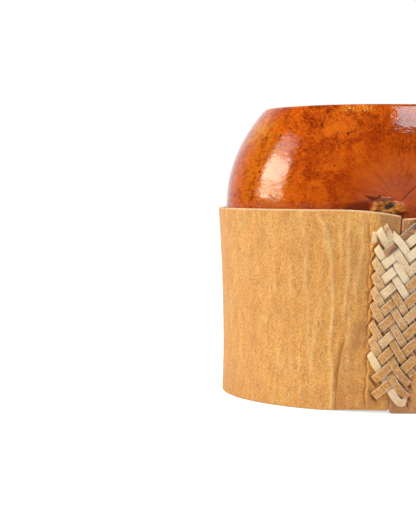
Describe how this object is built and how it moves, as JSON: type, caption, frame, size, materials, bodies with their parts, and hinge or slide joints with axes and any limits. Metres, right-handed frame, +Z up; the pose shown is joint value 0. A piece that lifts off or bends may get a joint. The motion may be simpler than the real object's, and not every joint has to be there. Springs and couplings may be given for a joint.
{
  "type": "mate gourd",
  "caption": "Squat drinking cup: a lacquered gourd with a flat-cut mouth and stem scar, standing in a leather sleeve plaited shut in front by two flat laces.",
  "frame": {"origin": "on the table, under the middle of the cup's bounding box", "axes": "+Z up out of the mouth, -Y towards the laced seam and the stem scar, +X along the cup's longest side, to the right when the seam is faced"},
  "size_m": [0.0962, 0.0886, 0.0759],
  "materials": {
    "gourd": "dried gourd under clear glossy lacquer, mottled orange and rust brown",
    "sleeve_leather": "thick vegetable-tanned leather, matte golden tan, lightly creased",
    "lace_rawhide": "flat rawhide lace, matte cream to tan with pale cut edges"
  },
  "bodies": {
    "root": {"gourd_shell": "gourd", "leather_sleeve": "sleeve_leather", "lace_falling_right": "lace_rawhide", "lace_falling_left": "lace_rawhide"}
  },
  "joints": []
}
